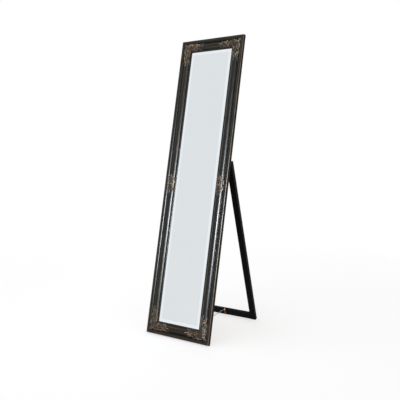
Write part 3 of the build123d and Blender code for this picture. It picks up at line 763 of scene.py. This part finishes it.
tree, group_in, group_out = tree_with_sockets("set_on_marks", {"Thing": "Object", "Finish": "Material"})
thing = add_node(tree, "GeometryNodeObjectInfo", {}, {"Object": group_in.outputs["Thing"]})
close_tree(tree, group_in, group_out, copies_on_marks(tree, group_in, thing.outputs["Geometry"]))
set_on_marks = tree


def set_things(name, thing_mesh, places, material, sharp_angle=35):
    """Set copies of a small mesh at places, as one plain piece."""
    thing = put_in_scene(name + "_thing", thing_mesh)
    piece = grow_from_tree(name, set_on_marks, marks_mesh(name + "_marks", places),
                           {"Thing": thing, "Finish": material}, Matrix.Identity(4), sharp_angle)
    bpy.data.objects.remove(thing)
    return piece


# Glazing points: stamped steel arrowheads with a turned-up heel for the driver, pushed into the
# rebate wall by hand, six to a stile and two to a rail. Bright zinc, never painted.
point_width, point_length, point_sheet, point_bite, heel_height = 12.0, 14.0, 0.6, 6.0, 2.4
stile_points, rail_points = 6, 2
glass_thickness, board_thickness, bevel_depth, seat_gap = 4.0, 3.0, 2.2, 0.1
glass_front = lip_back - seat_gap + bevel_depth * (1 - (rebate_width - glass_clearance) / bevel_width)
point_top = glass_front - glass_thickness - board_thickness

zinc = bpy.data.materials.new("bright_zinc_plate")
tree, surface = principled(zinc)
spot = add_node(tree, "ShaderNodeTexCoord")
spangle = add_node(tree, "ShaderNodeTexVoronoi", {}, {
    "Vector": spot.outputs["Object"], "Scale": 1 / (1.5 * MM)})
scuff = add_node(tree, "ShaderNodeMapRange", {}, {
    "Value": spangle.outputs["Distance"], "To Min": 0.24, "To Max": 0.46})
set_inputs(tree, surface, {
    "Base Color": mixed(tree, spangle.outputs["Distance"], srgb("#9aa0a3"), srgb("#c2c6c8")),
    "Roughness": scuff.outputs["Result"], "Metallic": 1.0})

# The plate's own axes: X across it, Y away from the wood, Z towards the board
half_point, heel_start, barb = point_width / 2, point_length - point_bite, 1.2
tail_half = half_point * 0.72
arrow = [(0, -point_bite), (half_point, 0), (tail_half, barb), (tail_half, heel_start),
         (-tail_half, heel_start), (-tail_half, barb), (-half_point, 0)]
point_mesh = prism("glazing_point", arrow, point_sheet)
heel = bmesh.new()
heel.from_mesh(point_mesh)
bmesh.ops.create_cube(heel, size=1.0, matrix=Matrix.Translation(
    Vector((0, heel_start - point_sheet / 2, (point_sheet - heel_height) / 2)) * MM)
    @ Matrix.Diagonal((2 * tail_half * MM, point_sheet * MM, (heel_height + point_sheet) * MM, 1)))
heel.to_mesh(point_mesh)
heel.free()
point_places = []
for place, length in sides.values():
    count = stile_points if length == frame_height else rail_points
    for step in range(count):
        at = Matrix.Translation((length * (step + 0.5) / count, rebate_wall, point_top - point_sheet))
        point_places.append(unscaled(place @ at))
points = set_things("rebate_glazing_points", point_mesh, point_places, zinc)
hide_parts("glazing_points")
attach(points, "frame")

# Corner nails: V-shaped steel strips, driven flush across each mitre from behind by a pinner.
# The same bright zinc.
nail_wing, nail_sheet, nail_depth, nail_stations = 6.0, 1.0, 10.0, (14.0, 34.0)
wedge = [(0, 0), (-nail_wing, 0), (-nail_wing, -nail_sheet), (-nail_sheet, -nail_sheet),
         (-nail_sheet, -nail_wing), (0, -nail_wing)]
nail_places = [
    unscaled(sides[side][0] @ Matrix.Translation((station, station, 0)))
    for side in corner_sides.values() for station in nail_stations
]
nails = set_things("mitre_corner_nails", prism("corner_nail", wedge, nail_depth), nail_places, zinc)
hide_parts("corner_nails")
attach(nails, "frame")

# Stand: two legs, a top rail and a crossbar of planed beech, dowelled, stained black and given a
# thin satin varnish. The grain shows only where the light grazes it.
open_angle, pin_height, pin_offset = 30.0, 950.0, 3.1
stand_width, leg_width, stand_thickness = 398.0, 35.0, 20.0
plank_spacing, dowel_wood = 700.0, 3000.0
leg_lean = radians(open_angle) - frame_tilt
stand_front_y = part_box("left_leg")[1].y - stand_thickness * MM * cos(leg_lean)
stand_place = (Matrix.Translation((0, stand_front_y, 0)) @ Matrix.Rotation(pi / 2 + leg_lean, 4, "X")
               @ Matrix.Scale(MM, 4))

black_stain = bpy.data.materials.new("black_stained_beech_satin")
tree, surface = principled(black_stain)
grain_spot = add_node(tree, "ShaderNodeAttribute", {"attribute_name": "grain"})
rings = add_node(tree, "ShaderNodeTexNoise", {}, {
    "Vector": stretched(tree, grain_spot.outputs["Vector"], 240, 5, 5),
    "Scale": 1.0, "Detail": 4.0, "Distortion": 0.7})
wood_pores = add_node(tree, "ShaderNodeTexNoise", {}, {
    "Vector": stretched(tree, grain_spot.outputs["Vector"], 9, 0.7, 0.7), "Scale": 1.0, "Detail": 3.0})
satin = add_node(tree, "ShaderNodeMapRange", {}, {
    "Value": rings.outputs["Fac"], "From Min": 0.3, "From Max": 0.7, "To Min": 0.4, "To Max": 0.55})
open_grain = add_node(tree, "ShaderNodeBump", {}, {
    "Height": wood_pores.outputs["Fac"], "Strength": 0.3, "Distance": 0.0002})
set_inputs(tree, surface, {
    "Base Color": mixed(tree, rings.outputs["Fac"], srgb("#030303"), srgb("#0b0a09")),
    "Roughness": satin.outputs["Result"], "Normal": open_grain.outputs[0], "Specular IOR Level": 0.05})


def run_grain(mesh, to_wood, along, offset):
    """Store where each point lies in the plank it was cut from: millimetres, X along the grain."""
    points = np.array([to_wood @ vertex.co for vertex in mesh.vertices])
    points = np.roll(points, -along, axis=1) + (offset, 0, 0)
    mesh.attributes.new("grain", "FLOAT_VECTOR", "POINT").data.foreach_set("vector", points.ravel())


# Each piece comes from another place in the plank, legs with their length along Y
to_stand = stand_place.inverted()
for order, (node, along) in enumerate((("left_leg", 1), ("right_leg", 1), ("crossbar", 0),
                                       ("stand_top_rail", 0))):
    run_grain(dress(node, black_stain), to_stand, along, plank_spacing * order)

# Dowels: round beech pegs, glued blind into both halves of each joint of the stand. They are
# never stained, so they stay pale.
beech = bpy.data.materials.new("bare_beech_dowel")
tree, surface = principled(beech)
grain_spot = add_node(tree, "ShaderNodeAttribute", {"attribute_name": "grain"})
flecks = add_node(tree, "ShaderNodeTexNoise", {}, {
    "Vector": stretched(tree, grain_spot.outputs["Vector"], 12, 1.2, 1.2), "Scale": 1.0, "Detail": 4.0})
set_inputs(tree, surface, {
    "Base Color": mixed(tree, flecks.outputs["Fac"], srgb("#b98d5f"), srgb("#dcb98e")),
    "Roughness": 0.6})
run_grain(dress("stand_dowels", beech), to_stand, 0, dowel_wood)

# Hinges: two butt hinges of rolled brass strip, screwed to the face of the wood. The brass is
# bronzed nearly black, and goes browner in patches.
bronzed_brass = bpy.data.materials.new("bronzed_brass_strip")
tree, surface = principled(bronzed_brass)
spot = add_node(tree, "ShaderNodeTexCoord")
tarnish = mottle(tree, 7, 5.0, 0.65)
brushed_place = add_node(tree, "ShaderNodeVectorMath", {"operation": "MULTIPLY"},
                         {0: spot.outputs["Object"], 1: (20.0, 900.0, 900.0)})
brushed = add_node(tree, "ShaderNodeTexNoise", {}, {"Vector": brushed_place.outputs[0], "Scale": 1.0})
polish = add_node(tree, "ShaderNodeMapRange", {}, {
    "Value": tarnish, "From Min": 0.3, "From Max": 0.7, "To Min": 0.38, "To Max": 0.22})
brush_marks = add_node(tree, "ShaderNodeBump", {}, {
    "Height": brushed.outputs["Fac"], "Strength": 0.15, "Distance": 0.0001})
set_inputs(tree, surface, {
    "Base Color": mixed(tree, tarnish, srgb("#1d1610"), srgb("#4a3923")),
    "Roughness": polish.outputs["Result"], "Normal": brush_marks.outputs[0], "Metallic": 1.0})
for hand in ("left", "right"):
    for part in ("frame_leaf", "stand_leaf", "pin"):
        dress(f"{hand}_hinge_{part}", bronzed_brass)

# Screws: countersunk steel wood screws with a cross recess, two through each hinge leaf, driven
# until their heads are level with it. Yellow-passivated and dull.
screw_radius, screw_head_radius, screw_head = 1.6, 3.1, 1.4
screw_length, screw_point, tip_radius = 12.0, 4.0, 0.25
recess_width, recess_length, recess_depth = 0.7, 3.4, 0.8
leaf_thickness, screw_offset, screw_drop = 1.2, 9.0, 16.0
around = 24
leg_middle = (stand_width - leg_width) / 2

passivated = bpy.data.materials.new("passivated_screw_steel")
tree, surface = principled(passivated)
set_inputs(tree, surface, {
    "Base Color": mixed(tree, mottle(tree, 1.8, 3.0), srgb("#7d6a45"), srgb("#b9a87c")),
    "Metallic": 1.0, "Roughness": 0.36})

turned = [(screw_head_radius, 0), (screw_radius, -screw_head), (screw_radius, screw_point - screw_length),
          (tip_radius, -screw_length)]
screw_rings = [
    [Vector((radius * cos(2 * pi * i / around), radius * sin(2 * pi * i / around), height)) * MM
     for i in range(around)]
    for radius, height in turned
]
screw_mesh = bpy.data.meshes.new("screw_blank")
screw_faces = [
    (ring * around + i, (ring + 1) * around + i, (ring + 1) * around + (i + 1) % around,
     ring * around + (i + 1) % around)
    for ring in range(len(turned) - 1) for i in range(around)
]
tip_start = (len(turned) - 1) * around
screw_faces += [tuple(range(around)), tuple(reversed(range(tip_start, tip_start + around)))]
screw_mesh.from_pydata([point for ring in screw_rings for point in ring], [], screw_faces)

tree, group_in, group_out = tree_with_sockets("driven_screws", {
    "Blank": "Object", "Recess Width": "Float", "Recess Length": "Float", "Recess Depth": "Float",
    "Finish": "Material"})
blank = add_node(tree, "GeometryNodeObjectInfo", {}, {"Object": group_in.outputs["Blank"]})
depth = add_node(tree, "ShaderNodeMath", {"operation": "MULTIPLY"},
                 {0: group_in.outputs["Recess Depth"], 1: 2.0})
cut = blank.outputs["Geometry"]
for across_size, down_size in (("Recess Width", "Recess Length"), ("Recess Length", "Recess Width")):
    blade_size = add_node(tree, "ShaderNodeCombineXYZ", {}, {
        "X": group_in.outputs[across_size], "Y": group_in.outputs[down_size], "Z": depth.outputs[0]})
    blade = add_node(tree, "GeometryNodeMeshCube", {}, {"Size": blade_size.outputs[0]})
    cut = add_node(tree, "GeometryNodeMeshBoolean", {"operation": "DIFFERENCE"},
                   {0: cut, 1: blade.outputs["Mesh"]}).outputs["Mesh"]
close_tree(tree, group_in, group_out, copies_on_marks(tree, group_in, cut))
driven_screws = tree

frame_mm = frame_place @ Matrix.Scale(MM, 4)
hinge_axis = frame_place @ Vector((0, pin_height * MM, -pin_offset * MM))
leg_below_pin = (to_stand @ hinge_axis).y
seats = {
    "frame": (frame_mm, pin_height - screw_drop, -leaf_thickness, Matrix.Rotation(pi, 4, "X")),
    "stand": (stand_place, leg_below_pin - screw_drop, leaf_thickness, Matrix.Identity(4)),
}
for body, (axes, up, out, flipped) in seats.items():
    # Each cross stops where the driver left it
    screw_places = [
        unscaled(axes @ Matrix.Translation((sign * leg_middle + offset, up, out)) @ flipped
                 @ Matrix.Rotation(0.4 * sign + 0.05 * offset, 4, "Z"))
        for sign in (-1, 1) for offset in (-screw_offset, screw_offset)
    ]
    screw_blank = put_in_scene("screw_blank", screw_mesh)
    values = {"Blank": screw_blank, "Recess Width": recess_width * MM, "Recess Length": recess_length * MM,
              "Recess Depth": recess_depth * MM, "Finish": passivated}
    screws = grow_from_tree(f"{body}_hinge_screw_set", driven_screws,
                            marks_mesh("screw_marks", screw_places), values, Matrix.Identity(4))
    bpy.data.objects.remove(screw_blank)
    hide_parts(f"left_hinge_{body}_screws", f"right_hinge_{body}_screws")
    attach(screws, body)

# Screw eye and hook: bent brass wire screwed into the back of the bottom rail and the front of
# the crossbar, gone brown in patches and still yellow and smoother between them.
brass_wire = bpy.data.materials.new("aged_brass_wire")
tree, surface = principled(brass_wire)
patina = mottle(tree, 5, 5.0, 0.6)
wire_polish = add_node(tree, "ShaderNodeMapRange", {}, {
    "Value": patina, "From Min": 0.3, "From Max": 0.7, "To Min": 0.48, "To Max": 0.25})
set_inputs(tree, surface, {
    "Base Color": mixed(tree, patina, srgb("#6d4c30"), srgb("#d3a873")),
    "Roughness": wire_polish.outputs["Result"], "Metallic": 1.0})
for node in ("frame_screw_eye", "crossbar_hook"):
    dress(node, brass_wire)

# Chain: 49 welded steel links, each turned a quarter against the next, hung with a shallow sag
# between eye and hook. It stops the stand from sliding out. Bare steel gone dull.
chain_wire, link_width, chain_sag, link_play, link_count = 0.7, 6.0, 10.0, 0.15, 49
eye_height, eye_reach, eye_ring, eye_wire = 38.0, 11.0, 4.4, 1.1
hook_height, hook_reach, hook_ring, hook_wire = 43.0, 9.0, 4.6, 1.3
eye_hole, hook_hole = eye_ring - eye_wire, hook_ring - hook_wire
eye_centre = frame_mm @ Vector((0, eye_height, -eye_reach))
hook_centre = stand_place @ Vector((0, hook_height, hook_reach))
chain_way = (hook_centre - eye_centre).normalized()
chain_start = eye_centre + chain_way * (eye_hole - chain_wire - link_play) * MM
chain_end = hook_centre - chain_way * (hook_hole - chain_wire - link_play) * MM
chain_span = (chain_end - chain_start).length / MM
chain_length = chain_span + 8 / 3 * chain_sag**2 / chain_span
link_overlap = 2 * chain_wire + link_play
link_pitch = (chain_length - link_overlap) / link_count
link_reach = (link_pitch + link_overlap) / 2

dull_steel = bpy.data.materials.new("dull_grey_chain_steel")
tree, surface = principled(dull_steel)
oxide = mottle(tree, 4, 4.0, 0.6)
steel_wear = add_node(tree, "ShaderNodeMapRange", {}, {
    "Value": oxide, "From Min": 0.3, "From Max": 0.7, "To Min": 0.5, "To Max": 0.34})
set_inputs(tree, surface, {
    "Base Color": mixed(tree, oxide, srgb("#4e4b49"), srgb("#8d8a86")),
    "Roughness": steel_wear.outputs["Result"], "Metallic": 0.9})


def chain_point(along):
    """Point of the hanging chain at a distance along it."""
    share = along / chain_length
    sag = 4 * chain_sag * share * (1 - share) * MM
    return chain_start.lerp(chain_end, share) - Vector((0, 0, sag))


bend_radius, bend_steps = link_width / 2 - chain_wire, 6
straight = link_reach - bend_radius
link_line = []
for side in (1, -1):
    for step in range(bend_steps + 1):
        turn_angle = pi * step / bend_steps - pi / 2
        link_line.append((side * (straight + bend_radius * cos(turn_angle)) * MM,
                          side * bend_radius * sin(turn_angle) * MM, 0))
link_line_mesh = bpy.data.meshes.new("link_line")
link_line_mesh.from_pydata(link_line, [(i, (i + 1) % len(link_line)) for i in range(len(link_line))], [])

tree, group_in, group_out = tree_with_sockets("hung_chain", {
    "Start": "Vector", "Middle": "Vector", "End": "Vector", "Links": "Int", "Wire": "Float",
    "Finish": "Material"})
round_wire = add_node(tree, "GeometryNodeCurvePrimitiveCircle", {}, {
    "Resolution": 8, "Radius": group_in.outputs["Wire"]})
link_curve = add_node(tree, "GeometryNodeMeshToCurve", {}, {"Mesh": group_in.outputs["Geometry"]})
link_shape = add_node(tree, "GeometryNodeCurveToMesh", {}, {
    "Curve": link_curve.outputs[0], "Profile Curve": round_wire.outputs[0]})
hang = add_node(tree, "GeometryNodeCurveQuadraticBezier", {}, {
    "Resolution": 96, "Start": group_in.outputs["Start"], "Middle": group_in.outputs["Middle"],
    "End": group_in.outputs["End"]})
centres = add_node(tree, "GeometryNodeResampleCurve", {}, {
    "Curve": hang.outputs[0], "Count": group_in.outputs["Links"]})
level = add_node(tree, "FunctionNodeAlignRotationToVector", {"axis": "Z"}, {"Vector": (1, 0, 0)})
tangent = add_node(tree, "GeometryNodeInputTangent")
strung = add_node(tree, "FunctionNodeAlignRotationToVector", {"axis": "X", "pivot_axis": "Z"}, {
    "Rotation": level.outputs[0], "Vector": tangent.outputs[0]})
number = add_node(tree, "GeometryNodeInputIndex")
odd = add_node(tree, "ShaderNodeMath", {"operation": "MODULO"}, {0: number.outputs[0], 1: 2.0})
quarter = add_node(tree, "ShaderNodeMath", {"operation": "MULTIPLY_ADD"},
                   {0: odd.outputs[0], 1: -pi / 2, 2: pi / 2})
roll = add_node(tree, "FunctionNodeAxisAngleToRotation", {}, {
    "Axis": (1, 0, 0), "Angle": quarter.outputs[0]})
twisted = add_node(tree, "FunctionNodeRotateRotation", {"rotation_space": "LOCAL"}, {
    0: strung.outputs[0], 1: roll.outputs[0]})
linked = add_node(tree, "GeometryNodeInstanceOnPoints", {}, {
    "Points": centres.outputs[0], "Instance": link_shape.outputs[0], "Rotation": twisted.outputs[0]})
close_tree(tree, group_in, group_out, linked.outputs[0])

first_link, last_link = chain_point(link_reach), chain_point(chain_length - link_reach)
lowest = chain_point(chain_length / 2)
chain = grow_from_tree("stand_stay_chain", tree, link_line_mesh, {
    "Start": first_link, "Middle": 2 * lowest - (first_link + last_link) / 2, "End": last_link,
    "Links": link_count, "Wire": chain_wire * MM, "Finish": dull_steel}, Matrix.Identity(4), 60)
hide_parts("chain")
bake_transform(chain)
